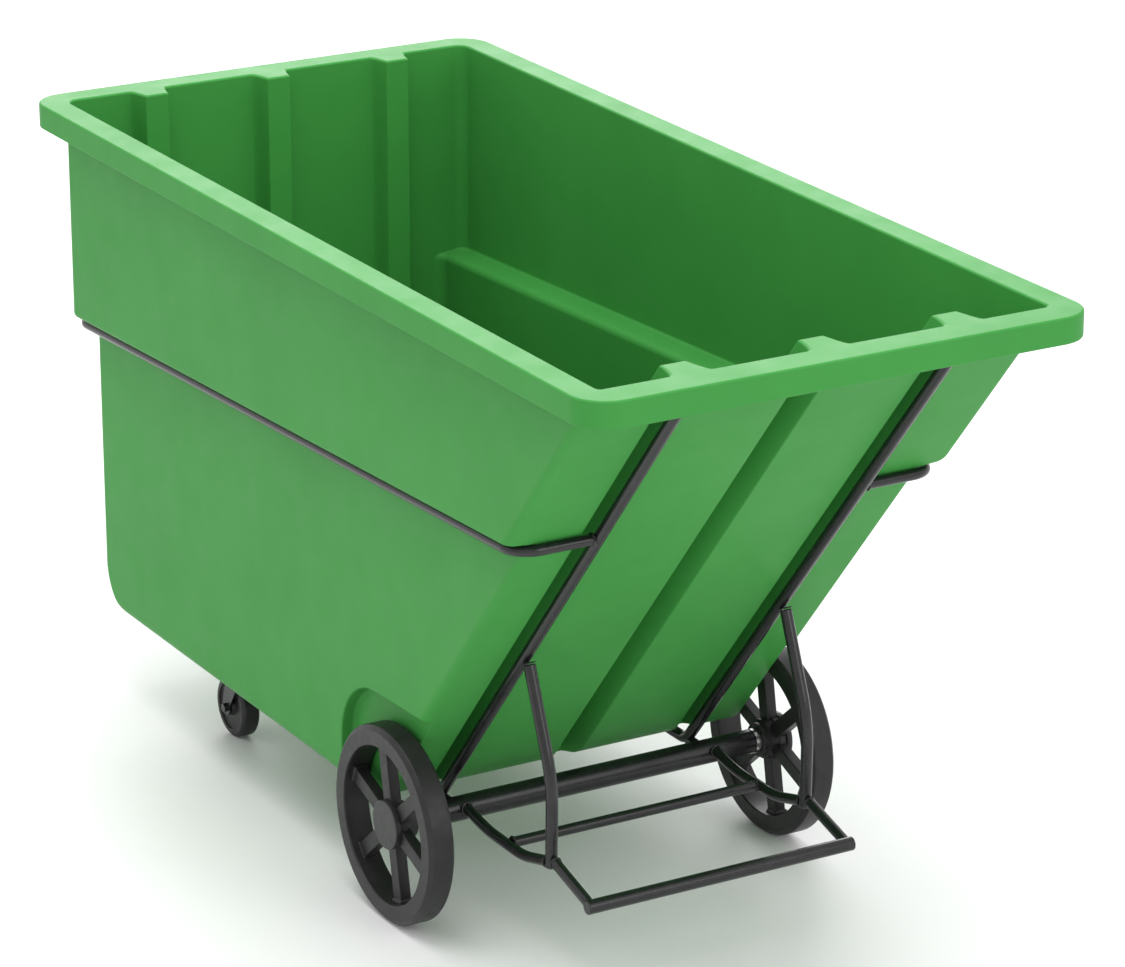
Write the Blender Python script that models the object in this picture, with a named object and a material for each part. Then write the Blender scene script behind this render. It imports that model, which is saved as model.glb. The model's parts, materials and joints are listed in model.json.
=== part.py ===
"""Tilt truck: a moulded plastic tub on a bent-tube frame, with two fixed wheels and two swivel casters.

Metres, +Z up. The dumping end faces -Y, X runs across, and the floor is z = 0. The dimensions count Y
from the rim's front edge; build() then moves the model so that the origin is under its middle.
"""
import math

import bmesh
import bpy
from mathutils import Matrix, Vector

# ---- driving dimensions -------------------------------------------------------------------------
RIM_WIDTH = 0.800            # over the rim, across
RIM_LENGTH = 1.747           # over the rim, along
RIM_TOP = 1.005              # height of the rim above the floor
RIM_DEPTH = 0.039            # height of the rim's outer band
RIM_CORNER = 0.055           # plan radius of the rim's outer corners
WALL = 0.006

SLOPE_ANGLE = math.radians(50.1)   # of the dumping end, from the floor
SLOPE_TOP_Y = 0.047          # where the slope's outer face meets the rim's top
REAR_Y = 1.705               # outer face of the rear wall
UPPER_HALF = 0.361           # half width of the tub above the side step
LOWER_HALF = 0.319           # half width below it
FLOOR_Z = 0.155              # underside of the tub
STEP_Z = 0.682               # underside of the side step at STEP_REF_Y
STEP_REF_Y = 0.90
STEP_TILT = 0.042            # the step climbs towards the dumping end
STEP_FALL = 0.003            # the step's face falls by this much towards the middle

FRONT_FOOT_RADIUS = 0.070    # slope to floor
REAR_FOOT_RADIUS = 0.080     # rear wall to floor
SIDE_FOOT_RADIUS = 0.020     # sides to floor
FRONT_CORNER = 0.012         # slope to sides
REAR_CORNER = 0.025          # rear wall to sides
STEP_EDGE = 0.010            # outer edge of the side step
STEP_ROOT = 0.006            # inner corner of the side step

CHANNEL_X = 0.2145           # spacing of the channels, and of the rails, from the middle
CHANNEL_MOUTH = 0.024        # half width at the face
CHANNEL_FLOOR = 0.014        # half width at the bottom
CHANNEL_DEPTH = 0.036
RIB_FLARE = 0.004            # extra half width at a rib's root, inside

ARCH_X = 0.3000              # inner face of a wheel recess
ARCH_REAR_Y = 0.860
ARCH_TOP_Z = 0.330
ARCH_DRAFT = 0.012

RAIL_D = 0.018
RAIL_STANDOFF = 0.0095       # rail axis to the slope's face
BELT_D = 0.016
RUNNER_D = 0.016
FOOT_BAR_D = 0.021           # the front of the foot bar; its arms are as thick as the runners
AXLE_Y = 0.688
AXLE_TUBE_D = 0.0375
AXLE_TUBE_BORE = 0.0206
AXLE_TUBE_HALF = 0.287
SHAFT_D = 0.020
SHAFT_HALF = 0.338
WASHER_BORE_R = 0.0103
GAP = 0.0003                 # between pieces that touch
WELD_GAP = 0.0026            # middle of a slanting bar's square end to the bar it is welded to

WHEEL_R = 0.150
WHEEL_X = 0.3245              # middle of a main wheel
WHEEL_HALF = 0.0210
RING_INNER_R = 0.119
HUB_R = 0.037
HUB_IN_X = 0.2980
HUB_OUT_X = 0.3326
WHEEL_SEGMENTS = 40
WHEEL_BORE_R = 0.0143
BORE_SEGMENTS = 32
BUSH_LENGTH = 0.0165
BUSH_BORE_R = 0.01005
SPOKES = 6
SPOKE_TURN = -math.radians(10.5)
SPOKE_SHIFT = -0.0008        # spokes' middle plane from the wheel's
SPOKE_WIDTH = 0.0236
SPOKE_DEPTH = 0.0176

CASTER_Y = 1.394             # kingpin
CASTER_TRAIL = 0.032
CASTER_WHEEL_R = 0.0508
CASTER_WHEEL_HALF = 0.0155
CASTER_WHEEL_SEGMENTS = 28
CASTER_BOLT_D = 0.008
BOLT_HEAD_ACROSS = 0.013     # hexagon, across its flats
BOLT_HEAD_HEIGHT = 0.0053

GREEN = (0.060, 0.330, 0.060)
BLACK = (0.030, 0.029, 0.031)
DARK_GREY = (0.055, 0.055, 0.056)
ZINC = (0.560, 0.560, 0.540)
NYLON = (0.700, 0.680, 0.600)

# colour, roughness and metallic value of each finish
GREEN_PLASTIC = (GREEN, 0.45, 0.0)
BLACK_PAINT = (BLACK, 0.42, 0.0)
WHEEL_PLASTIC = (DARK_GREY, 0.55, 0.0)
BUSH_PLASTIC = (NYLON, 0.40, 0.0)
ZINC_PLATE = (ZINC, 0.35, 1.0)


# ---- scene and material helpers -----------------------------------------------------------------
def clear_scene():
    for obj in list(bpy.data.objects):
        bpy.data.objects.remove(obj, do_unlink=True)


def material(name, color, roughness, metallic=0.0):
    mat = bpy.data.materials.new(name)
    mat.use_nodes = True
    shader = mat.node_tree.nodes["Principled BSDF"]
    shader.inputs["Base Color"].default_value = (*color, 1.0)
    shader.inputs["Roughness"].default_value = roughness
    shader.inputs["Metallic"].default_value = metallic
    mat.diffuse_color = (*color, 1.0)
    return mat


def add_object(name, mesh, finish, location=(0, 0, 0), smooth=True):
    """Link a mesh as one named sub-part with its own material."""
    obj = bpy.data.objects.new(name, mesh)
    color, roughness, metallic = finish
    mesh.materials.clear()
    mesh.materials.append(material(name + "_finish", color, roughness, metallic))
    obj.location = location
    bpy.context.scene.collection.objects.link(obj)
    if smooth:
        shade_smooth(mesh)
    return obj


def shade_smooth(mesh, angle=math.radians(35)):
    """Smooth the faces and keep the creases above the angle sharp."""
    mesh.shade_smooth()
    mesh.set_sharp_from_angle(angle=angle)


def empty(name, location):
    obj = bpy.data.objects.new(name, None)
    obj.location = location
    obj.empty_display_size = 0.05
    bpy.context.scene.collection.objects.link(obj)
    return obj


def parent_to(child, holder):
    """Parent without moving: the child's location becomes relative to the holder."""
    child.location = Vector(child.location) - Vector(holder.matrix_world.translation)
    child.parent = holder


def mesh_from(verts, faces):
    mesh = bpy.data.meshes.new("shape")
    mesh.from_pydata([tuple(v) for v in verts], [], faces)
    bm = bmesh.new()
    bm.from_mesh(mesh)
    bmesh.ops.recalc_face_normals(bm, faces=bm.faces)
    bm.to_mesh(mesh)
    bm.free()
    return mesh


def joined(*meshes):
    """One mesh holding several separate shells, for use as a cutter or before a union."""
    bm = bmesh.new()
    for mesh in meshes:
        bm.from_mesh(mesh)
    out = bpy.data.meshes.new("shape")
    bm.to_mesh(out)
    bm.free()
    return out


def moved(mesh, offset=(0, 0, 0), rotation=None):
    matrix = Matrix.Translation(offset)
    if rotation is not None:
        matrix = matrix @ rotation
    out = mesh.copy()
    out.transform(matrix)
    return out


def boolean(base, cutter, operation):
    """Base mesh combined with a cutter mesh, evaluated and returned as a new mesh."""
    scene = bpy.context.scene
    base_obj = bpy.data.objects.new("base", base)
    cut_obj = bpy.data.objects.new("cutter", cutter)
    for obj in (base_obj, cut_obj):
        scene.collection.objects.link(obj)
    cut_obj.hide_render = True
    cut_obj.display_type = "WIRE"
    modifier = base_obj.modifiers.new("cut", "BOOLEAN")
    modifier.operation = operation
    modifier.solver = "EXACT"
    modifier.object = cut_obj
    bpy.context.view_layer.update()
    evaluated = base_obj.evaluated_get(bpy.context.evaluated_depsgraph_get())
    result = bpy.data.meshes.new_from_object(evaluated)
    bpy.data.objects.remove(base_obj, do_unlink=True)
    bpy.data.objects.remove(cut_obj, do_unlink=True)
    return result


# ---- shape helpers ------------------------------------------------------------------------------
def loft(loops):
    """Closed solid through loops of equal length, with flat caps on the first and the last."""
    count = len(loops[0])
    verts = [point for loop in loops for point in loop]
    faces = []
    for level in range(len(loops) - 1):
        low = level * count
        high = low + count
        for i in range(count):
            j = (i + 1) % count
            faces.append((low + i, low + j, high + j, high + i))
    faces.append(tuple(reversed(range(count))))
    faces.append(tuple(range(len(verts) - count, len(verts))))
    return mesh_from(verts, faces)


def over_flats(radius, segments):
    """Corner radius of a revolved shape whose flats are to lie at the given radius."""
    return radius / math.cos(math.pi / segments)


def revolve(profile, segments, closed=False):
    """Turn (x, r) points about the X axis, with a flat facing down.

    The profile starts and ends on the axis unless it is closed.
    """
    verts = []
    for step in range(segments):
        angle = 2 * math.pi * (step + 0.5) / segments
        verts += [(x, r * math.cos(angle), r * math.sin(angle)) for x, r in profile]
    count = len(profile)
    spans = count if closed else count - 1
    faces = []
    for step in range(segments):
        here = step * count
        there = ((step + 1) % segments) * count
        for i in range(spans):
            j = (i + 1) % count
            faces.append((here + i, here + j, there + j, there + i))
    mesh = mesh_from(verts, faces)
    bm = bmesh.new()
    bm.from_mesh(mesh)
    bmesh.ops.remove_doubles(bm, verts=bm.verts, dist=1e-6)
    bmesh.ops.recalc_face_normals(bm, faces=bm.faces)
    bm.to_mesh(mesh)
    bm.free()
    return mesh


def disc(x_low, x_high, radius, segments=24, bevel=0.0):
    """A round bar along X with eased ends."""
    if bevel <= 0:
        profile = [(x_low, 0), (x_low, radius), (x_high, radius), (x_high, 0)]
    else:
        profile = [(x_low, 0), (x_low, radius - bevel), (x_low + bevel, radius),
                   (x_high - bevel, radius), (x_high, radius - bevel), (x_high, 0)]
    return revolve(profile, segments)


def ring(x_low, x_high, inner, outer, segments=24, bevel=0.0):
    """A round tube along X, open through its bore."""
    profile = [(x_low, inner), (x_low, outer - bevel), (x_high, outer - bevel), (x_high, inner)]
    if bevel > 0:
        profile = [(x_low, inner), (x_low, outer - bevel), (x_low + bevel, outer),
                   (x_high - bevel, outer), (x_high, outer - bevel), (x_high, inner)]
    return revolve(profile, segments, closed=True)


LAY_ALONG_X = Matrix.Rotation(math.pi / 2, 4, "Y")


def turn_upright(mesh):
    """Turn a shape made along X so that its +X end points up."""
    return moved(mesh, rotation=Matrix.Rotation(-math.pi / 2, 4, "Y"))


def prism(outline, low, high):
    """Extrude a (x, y) outline from z = low to z = high."""
    return loft([[(x, y, low) for x, y in outline], [(x, y, high) for x, y in outline]])


def rounded_rectangle(half_x, half_y, radius, steps=4):
    points = []
    corners = ((1, -1, -90), (1, 1, 0), (-1, 1, 90), (-1, -1, 180))
    for sign_x, sign_y, start in corners:
        for step in range(steps + 1):
            angle = math.radians(start + 90 * step / steps)
            points.append((sign_x * (half_x - radius) + radius * math.cos(angle),
                           sign_y * (half_y - radius) + radius * math.sin(angle)))
    return points


def hexagon(across_flats):
    radius = across_flats / math.sqrt(3)
    angles = [math.radians(60 * corner) for corner in range(6)]
    return [(radius * math.cos(angle), radius * math.sin(angle)) for angle in angles]


def bent(points, radius, steps=6):
    """Points of a route with an arc of the given radius at each inner corner."""
    points = [Vector(p) for p in points]
    radii = radius if isinstance(radius, (list, tuple)) else [radius] * (len(points) - 2)
    route = [points[0]]
    for before, corner, after, bend in zip(points, points[1:], points[2:], radii):
        arriving = (corner - before).normalized()
        leaving = (after - corner).normalized()
        turn = arriving.angle(leaving)
        reach = bend * math.tan(turn / 2)
        inward = (leaving - arriving).normalized()
        centre = corner + inward * bend / math.cos(turn / 2)
        first = corner - arriving * reach - centre
        axis = arriving.cross(leaving).normalized()
        for step in range(steps + 1):
            route.append(centre + Matrix.Rotation(turn * step / steps, 3, axis) @ first)
    route.append(points[-1])
    return route


def tube_along(route, diameter, resolution=3):
    """Round bar that follows a route, with filled ends; made as a bevelled curve and taken as a mesh."""
    curve = bpy.data.curves.new("route", "CURVE")
    curve.dimensions = "3D"
    curve.bevel_depth = diameter / 2
    curve.bevel_resolution = resolution
    curve.use_fill_caps = True
    spline = curve.splines.new("POLY")
    spline.points.add(len(route) - 1)
    for point, place in zip(spline.points, route):
        point.co = (*place, 1.0)
    obj = bpy.data.objects.new("route", curve)
    bpy.context.scene.collection.objects.link(obj)
    bpy.context.view_layer.update()
    mesh = bpy.data.meshes.new_from_object(obj.evaluated_get(bpy.context.evaluated_depsgraph_get()))
    bpy.data.objects.remove(obj, do_unlink=True)
    bm = bmesh.new()
    bm.from_mesh(mesh)
    bmesh.ops.remove_doubles(bm, verts=bm.verts, dist=1e-6)
    bmesh.ops.recalc_face_normals(bm, faces=bm.faces)
    bm.to_mesh(mesh)
    bm.free()
    return mesh


# ---- the tub ------------------------------------------------------------------------------------
def slope_y(z, inset=0.0):
    """Y of the slope's face at a height; a positive inset moves it into the tub along its normal."""
    return SLOPE_TOP_Y + (RIM_TOP - z) / math.tan(SLOPE_ANGLE) + inset / math.sin(SLOPE_ANGLE)


def front_y(z, inset):
    """Y of the front at a height: the slope, then the round into the floor."""
    radius = FRONT_FOOT_RADIUS - inset
    centre_z = FLOOR_Z + inset + radius
    centre_y = slope_y(centre_z, inset) + radius / math.sin(SLOPE_ANGLE)
    if z > centre_z - radius * math.cos(SLOPE_ANGLE):
        return slope_y(z, inset)
    return centre_y - math.sqrt(max(radius ** 2 - (z - centre_z) ** 2, 0.0))


def rear_y(z, inset):
    """Y of the rear at a height: the rear wall, then the round into the floor."""
    radius = REAR_FOOT_RADIUS - inset
    centre_z = FLOOR_Z + inset + radius
    centre_y = REAR_Y - inset - radius
    if z > centre_z:
        return REAR_Y - inset
    return centre_y + math.sqrt(max(radius ** 2 - (z - centre_z) ** 2, 0.0))


def tub_section(z, tilt, half, inset):
    """One loop round the tub, in the plane z + tilt * (STEP_REF_Y - y), with the channels in it."""
    def height(y):
        return z + tilt * (STEP_REF_Y - y)

    def settle(edge):
        y = edge(z, inset)
        for _ in range(8):
            y = edge(height(y), inset)
        return y

    mouth = CHANNEL_MOUTH + (RIB_FLARE if inset else 0.0)
    floor = CHANNEL_FLOOR + inset
    front = settle(front_y)
    rear = settle(rear_y)
    front_floor = min(slope_y(height(front), inset) + CHANNEL_DEPTH / math.sin(SLOPE_ANGLE),
                      front_y(FLOOR_Z + inset, inset))
    rear_floor = min(rear, REAR_Y - inset - CHANNEL_DEPTH)
    front_floor = max(front_floor, front)
    corner = FRONT_CORNER - inset
    corner_y = corner / math.sin(SLOPE_ANGLE)
    back_corner = REAR_CORNER - inset
    steps = 4

    half_loop = [(mouth, front), (CHANNEL_X - mouth, front), (CHANNEL_X - floor, front_floor),
                 (CHANNEL_X + floor, front_floor), (CHANNEL_X + mouth, front)]
    for step in range(steps + 1):
        angle = math.pi / 2 * step / steps
        half_loop.append((half - corner + corner * math.sin(angle),
                          front + corner_y * (1 - math.cos(angle))))
    for step in range(steps + 1):
        angle = math.pi / 2 * step / steps
        half_loop.append((half - back_corner + back_corner * math.cos(angle),
                          rear - back_corner + back_corner * math.sin(angle)))
    half_loop += [(CHANNEL_X + mouth, rear), (CHANNEL_X + floor, rear_floor),
                  (CHANNEL_X - floor, rear_floor), (CHANNEL_X - mouth, rear), (mouth, rear)]
    middle_rear = [(floor, rear_floor), (-floor, rear_floor)]
    middle_front = [(-floor, front_floor), (floor, front_floor)]
    mirrored = [(-x, y) for x, y in reversed(half_loop)]
    outline = half_loop + middle_rear + mirrored + middle_front
    return [(x, y, height(y)) for x, y in outline]


def tub_solid(inset, top):
    """The tub's outer form (inset 0) or the space inside it (inset = wall), up to a given height."""
    loops = []
    side = SIDE_FOOT_RADIUS - inset
    low = FLOOR_Z + inset
    for rise in (0.0, 0.1, 0.4, 1.0):
        reach = math.sqrt(side ** 2 - (side - side * rise) ** 2)
        loops.append((low + side * rise, 0.0, LOWER_HALF - inset - side + reach))
    for share in (0.15, 0.35, 0.62, 1.0):
        loops.append((low + side + (FRONT_FOOT_RADIUS - side) * share, 0.0, LOWER_HALF - inset))
    for tilt_share, z in ((0.0, 0.34), (0.5, 0.50)):
        loops.append((z, STEP_TILT * tilt_share, LOWER_HALF - inset))
    edge = STEP_EDGE - inset
    root = STEP_ROOT + inset
    base = STEP_Z + inset
    loops.append((base - root, STEP_TILT, LOWER_HALF - inset))
    loops.append((base - root * 0.3, STEP_TILT, LOWER_HALF - inset + root * 0.3))
    loops.append((base, STEP_TILT, LOWER_HALF - inset + root))
    outer = base + STEP_FALL
    loops.append((outer, STEP_TILT, UPPER_HALF - inset - edge))
    loops.append((outer + edge * 0.3, STEP_TILT, UPPER_HALF - inset - edge * 0.3))
    loops.append((outer + edge, STEP_TILT, UPPER_HALF - inset))
    loops.append((0.82, STEP_TILT * 0.4, UPPER_HALF - inset))
    loops.append((0.90, 0.0, UPPER_HALF - inset))
    loops.append((top, 0.0, UPPER_HALF - inset))
    return loft([tub_section(z, tilt, half, inset) for z, tilt, half in loops])


def rim_slab():
    """The flat-topped band round the mouth, with eased upper and lower edges."""
    low = RIM_TOP - RIM_DEPTH
    loops = []
    levels = ((0.003, low), (0.0, low + 0.003), (0.0, RIM_TOP - 0.006), (0.0018, RIM_TOP - 0.0018),
              (0.006, RIM_TOP))
    for inset, z in levels:
        outline = rounded_rectangle(RIM_WIDTH / 2 - inset, RIM_LENGTH / 2 - inset, RIM_CORNER - inset, 5)
        loops.append([(x, y + RIM_LENGTH / 2, z) for x, y in outline])
    return loft(loops)


def arch_blocks(inset):
    """Both wheel recesses as solid blocks; a positive inset grows them into the tub for the inner side."""
    front = 0.40
    below = FLOOR_Z - 0.08
    blocks = []
    for side in (-1, 1):
        loops = []
        for x, grow in ((ARCH_X - inset, 0.0), (LOWER_HALF + 0.03, ARCH_DRAFT * 1.5)):
            rear = ARCH_REAR_Y + grow + inset
            top = ARCH_TOP_Z + grow + inset
            outline = bent([(0, front, below), (0, rear, below), (0, rear, top - 0.006),
                            (0, front, top + 0.012)], [0.001, 0.105], steps=6)
            loops.append([(side * x, p.y, p.z) for p in outline])
        blocks.append(loft(loops))
    return joined(*blocks)


def lip_screw_places():
    """X, Y of the four screws that go up into the rim."""
    front = (0.0, 0.047)
    rear = (0.022, REAR_Y + 0.021)
    return [(side * (CHANNEL_X + shift), y) for side in (-1, 1) for shift, y in (front, rear)]


def make_tub():
    outer = boolean(tub_solid(0.0, RIM_TOP - RIM_DEPTH / 2), rim_slab(), "UNION")
    outer = boolean(outer, arch_blocks(0.0), "DIFFERENCE")
    space = boolean(tub_solid(WALL, RIM_TOP + 0.02), arch_blocks(WALL), "DIFFERENCE")
    shell = boolean(outer, space, "DIFFERENCE")
    holes = [moved(turn_upright(disc(-0.015, 0.015, 0.0030, 12)), (x, y, RIM_TOP - RIM_DEPTH))
             for x, y in lip_screw_places()]
    shell = boolean(shell, joined(*holes), "DIFFERENCE")
    return add_object("tub", shell, GREEN_PLASTIC)


# ---- the frame ----------------------------------------------------------------------------------
RAIL_LOW_Z = FLOOR_Z - RAIL_D / 2 - GAP
RAIL_TOP_Z = RIM_TOP - RIM_DEPTH - 0.004 - 2 * GAP - RAIL_D / 2
RAIL_FRONT_TOP_Z = 0.9553
RAIL_REAR_Y = REAR_Y - RAIL_D / 2 - 0.0015
TIE_REAR_Y = 0.744


def rail_y(z):
    """Y of a rail's axis where it runs down in front of the slope."""
    return slope_y(z) - RAIL_STANDOFF / math.sin(SLOPE_ANGLE)


def belt_z(y):
    """Height of the belt rod's axis, just under the side step."""
    return STEP_Z + STEP_TILT * (STEP_REF_Y - y) - BELT_D / 2 - 0.0012


def rail_route(side):
    """Down the slope from under the rim, back under the tub and up its rear wall to the rim."""
    x = side * CHANNEL_X
    corners = [(x, rail_y(RAIL_FRONT_TOP_Z), RAIL_FRONT_TOP_Z),
               (x, rail_y(RAIL_LOW_Z), RAIL_LOW_Z), (x, RAIL_REAR_Y, RAIL_LOW_Z),
               (x, RAIL_REAR_Y, RAIL_TOP_Z), (x, RIM_LENGTH - 0.010, RAIL_TOP_Z)]
    return bent(corners, [0.035, 0.050, 0.020], steps=6)


def make_rails():
    for side, name in ((-1, "left_rail"), (1, "right_rail")):
        add_object(name, tube_along(rail_route(side), RAIL_D, 3), BLACK_PAINT)


def make_ties():
    """Short bars from the back of the axle tube to the rails' lower bends, shaped to both."""
    for side, name in ((-1, "left_tie"), (1, "right_tie")):
        x = side * CHANNEL_X
        bar = tube_along([(x, AXLE_Y + 0.008, RAIL_LOW_Z), (x, TIE_REAR_Y, RAIL_LOW_Z)], RAIL_D, 3)
        tube = moved(disc(x - 0.03, x + 0.03, AXLE_TUBE_D / 2 + GAP, 28), (0, AXLE_Y, WHEEL_R))
        bar = boolean(bar, tube, "DIFFERENCE")
        bar = boolean(bar, tube_along(rail_route(side), RAIL_D + 2 * GAP, 3), "DIFFERENCE")
        add_object(name, bar, BLACK_PAINT)


def make_belt_rod():
    side_x = LOWER_HALF + BELT_D / 2 + 0.004
    front_z = belt_z(0.30)
    front = slope_y(front_z) - (BELT_D / 2 + GAP) / math.sin(SLOPE_ANGLE)
    rear = REAR_Y + BELT_D / 2 + 0.0008
    end_x = CHANNEL_X + RAIL_D / 2 + GAP
    corners = [(x, y, belt_z(y)) for x, y in ((-end_x, front), (-side_x, front), (-side_x, rear),
                                              (side_x, rear), (side_x, front), (end_x, front))]
    route = bent(corners, [0.020, 0.036, 0.036, 0.020], steps=6)
    add_object("belt_rod", tube_along(route, BELT_D, 2), BLACK_PAINT)


def make_axle_tube():
    tube = ring(-AXLE_TUBE_HALF, AXLE_TUBE_HALF, AXLE_TUBE_BORE / 2, AXLE_TUBE_D / 2, 28, 0.002)
    add_object("axle_tube", tube, BLACK_PAINT, (0, AXLE_Y, WHEEL_R))


BRACE_TOP_Z = 0.462
BRACE_LEAN = Vector((0, -0.41, -0.912)).normalized()
BRACE_KNEE = Vector((0, 0.4180, 0.290))
BRACE_FOOT = Vector((0, 0.421, 0.159))
FOOT_FRONT = Vector((0, 0.3075, 0.1425))
FOOT_ARM_RISE = 0.2725       # slope of the foot bar's arms
RUNNER_FRONT_Z = 0.164
RUNNER_REAR_Z = 0.1565
CROSS_BAR_Y = 0.546
CROSS_BAR_Z = 0.1475
RUNNER_LOW_Z = 0.1455


def runner_route(side):
    """From the axle tube's front, sagging slightly, up to the brace's foot."""
    x = side * CHANNEL_X
    start = AXLE_Y - AXLE_TUBE_D / 2 - WELD_GAP
    end = BRACE_FOOT.y + RAIL_D / 2 + WELD_GAP
    waypoints = [(x, start, RUNNER_REAR_Z), (x, 0.610, RUNNER_LOW_Z), (x, 0.500, RUNNER_LOW_Z),
                 (x, end, RUNNER_FRONT_Z)]
    return bent(waypoints, [0.30, 0.16], steps=5)


def make_foot_frame():
    """Braces down from the rails, runners back to the axle tube, and the U-shaped bar it tips on."""
    brace_start = 0.0156
    for side, label in ((-1, "left"), (1, "right")):
        across = Vector((side * CHANNEL_X, 0, 0))
        top = Vector((0, rail_y(BRACE_TOP_Z), BRACE_TOP_Z)) + BRACE_LEAN * brace_start
        brace = bent([across + top, across + BRACE_KNEE, across + BRACE_FOOT], [0.20], steps=6)
        add_object(label + "_brace", tube_along(brace, RAIL_D, 3), BLACK_PAINT)
        add_object(label + "_runner", tube_along(runner_route(side), RUNNER_D, 3), BLACK_PAINT)
    arm_end = BRACE_FOOT.y - RAIL_D / 2 - WELD_GAP - 0.001
    arm_z = FOOT_FRONT.z + (arm_end - FOOT_FRONT.y) * FOOT_ARM_RISE
    half = CHANNEL_X + RUNNER_D / 2
    foot_bar = moved(disc(-half, half, FOOT_BAR_D / 2, 16, 0.004), FOOT_FRONT)
    for side in (-1, 1):
        x = side * CHANNEL_X
        arm = tube_along([(x, arm_end, arm_z), (x, FOOT_FRONT.y, FOOT_FRONT.z)], RUNNER_D, 2)
        foot_bar = boolean(foot_bar, arm, "UNION")
    add_object("foot_bar", foot_bar, BLACK_PAINT)
    reach = CHANNEL_X - RUNNER_D / 2 - GAP
    bar = disc(-reach, reach, RUNNER_D / 2, 16)
    add_object("cross_bar", bar, BLACK_PAINT, (0, CROSS_BAR_Y, CROSS_BAR_Z))


def make_lip_fixings():
    """Tabs on the rails' ends and the screws that hold the rim down on them."""
    tab_top = RIM_TOP - RIM_DEPTH - GAP
    tab_thick = 0.004
    names = ("left_front", "left_rear", "right_front", "right_rear")
    for label, (x, y) in zip(names, lip_screw_places()):
        side = math.copysign(1, x)
        if label.endswith("front"):
            plate = moved(prism(rounded_rectangle(0.015, 0.025, 0.004, 2), tab_top - tab_thick, tab_top),
                          (x, 0.061, 0))
        else:
            plate = moved(prism(rounded_rectangle(0.024, 0.014, 0.004, 2), tab_top - tab_thick, tab_top),
                          (side * (CHANNEL_X + 0.011), y, 0))
        hole = moved(turn_upright(disc(-0.01, 0.01, 0.0033, 12)), (x, y, tab_top))
        add_object(label + "_tab", boolean(plate, hole, "DIFFERENCE"), BLACK_PAINT)
        under = tab_top - tab_thick - GAP
        head = turn_upright(revolve([(-0.0035, 0), (-0.0035, 0.0045), (-0.0022, 0.0062), (0, 0.0062),
                                     (0, 0.0026), (0.016, 0.0026), (0.018, 0.0010), (0.018, 0)], 12))
        add_object(label + "_lip_screw", head, ZINC_PLATE, (x, y, under))


# ---- the main wheels ----------------------------------------------------------------------------
def wheel_mesh():
    """Six-spoke moulding about X, middle plane at x = 0: ring, spokes and hub in one piece."""
    w = WHEEL_HALF
    r = over_flats(WHEEL_R, WHEEL_SEGMENTS)
    inner = RING_INNER_R
    tread = revolve([(-w, inner + 0.003), (-w, r - 0.009), (-w + 0.0025, r - 0.0035), (-w + 0.0075, r),
                     (w - 0.0075, r), (w - 0.0025, r - 0.0035), (w, r - 0.009), (w, inner + 0.003),
                     (w - 0.003, inner), (-w + 0.003, inner)], WHEEL_SEGMENTS, closed=True)
    hub_in = HUB_IN_X - WHEEL_X
    hub_out = HUB_OUT_X - WHEEL_X
    hub = revolve([(hub_in, 0), (hub_in, HUB_R - 0.007), (hub_in + 0.005, HUB_R - 0.004),
                   (hub_out - 0.004, HUB_R - 0.001), (hub_out, HUB_R - 0.003), (hub_out, 0)], 28)
    wheel = boolean(tread, spoke_star(), "UNION")
    wheel = boolean(wheel, hub, "UNION")
    bore = disc(-2 * w, 2 * w, WHEEL_BORE_R, BORE_SEGMENTS)
    return boolean(wheel, bore, "DIFFERENCE")


def spoke_star():
    """All spokes as one solid: a star outline in the wheel's plane, as deep as a spoke."""
    outline = []
    inner = 0.026
    outer = RING_INNER_R + 0.012
    half = SPOKE_WIDTH / 2
    for spoke in range(SPOKES):
        angle = SPOKE_TURN + 2 * math.pi * spoke / SPOKES
        direction = Vector((math.cos(angle), math.sin(angle)))
        across = Vector((-direction.y, direction.x))
        for reach, width in ((inner, -half - 0.003), (outer, -half), (outer, half), (inner, half + 0.003)):
            point = direction * reach + across * width
            outline.append((point.x, point.y))
    depth = SPOKE_DEPTH / 2
    star = prism(outline, SPOKE_SHIFT - depth, SPOKE_SHIFT + depth)
    return moved(star, rotation=LAY_ALONG_X)


def on_side(mesh, side):
    """A copy of a shape made for the +X side, mirrored when it is wanted on the -X side."""
    out = mesh.copy()
    if side > 0:
        return out
    out.transform(Matrix.Scale(-1, 4, (1, 0, 0)))
    out.flip_normals()
    return out


def hub_cap_mesh():
    """Cap for the +X hub: a disc with a recess behind it for the shaft's end and its retaining ring."""
    rim = HUB_OUT_X + GAP
    recess_r = 0.0215
    recess = rim + 0.0060
    face = rim + 0.0085
    edge = 0.0015
    return revolve([(recess, 0), (recess, recess_r), (rim, recess_r), (rim, HUB_R - edge),
                    (rim + edge, HUB_R), (face - edge, HUB_R), (face, HUB_R - edge), (face, 0)], 28)


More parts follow.
